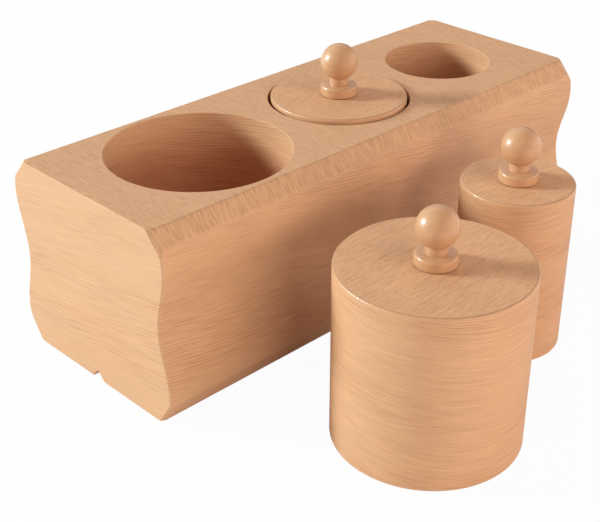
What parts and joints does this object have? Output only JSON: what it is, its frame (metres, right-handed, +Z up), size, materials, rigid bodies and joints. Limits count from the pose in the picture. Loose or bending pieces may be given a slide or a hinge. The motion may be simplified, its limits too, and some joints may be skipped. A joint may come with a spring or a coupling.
{
  "type": "knobbed cylinder block",
  "caption": "Wooden block with blind round holes in a row and knobbed cylinders of stepped diameter, one seated in its hole and the others standing in front of it.",
  "frame": {"origin": "On the table, at the middle of the ground that the block and the two cylinders before it cover", "axes": "+X along the block from its largest hole to its smallest, +Y towards the block's back, away from the two cylinders that stand before it, +Z up"},
  "size_m": [0.3044, 0.2433, 0.1329],
  "materials": {
    "block_beech": "oiled beech, satin",
    "cylinder_beech": "oiled beech, satin",
    "knob_beech": "lacquered beech, glossy"
  },
  "bodies": {
    "block": {"block_body": "block_beech"},
    "large_knobbed_cylinder": {"large_cylinder": "cylinder_beech", "large_knob_collar": "knob_beech", "large_knob_dowel": "knob_beech", "large_knob_ball": "knob_beech"},
    "middle_knobbed_cylinder": {"middle_cylinder": "cylinder_beech", "middle_knob_collar": "knob_beech", "middle_knob_dowel": "knob_beech", "middle_knob_ball": "knob_beech"},
    "small_knobbed_cylinder": {"small_cylinder": "cylinder_beech", "small_knob_collar": "knob_beech", "small_knob_dowel": "knob_beech", "small_knob_ball": "knob_beech"}
  },
  "joints": [
    {"name": "large_cylinder_lift", "type": "slide", "parent": "block", "child": "large_knobbed_cylinder", "axis": [0, 0, 1], "range_m": [0, 0.111]},
    {"name": "middle_cylinder_lift", "type": "slide", "parent": "block", "child": "middle_knobbed_cylinder", "axis": [0, 0, 1], "range_m": [0, 0.095]},
    {"name": "small_cylinder_lift", "type": "slide", "parent": "block", "child": "small_knobbed_cylinder", "axis": [0, 0, 1], "range_m": [0, 0.111]}
  ]
}
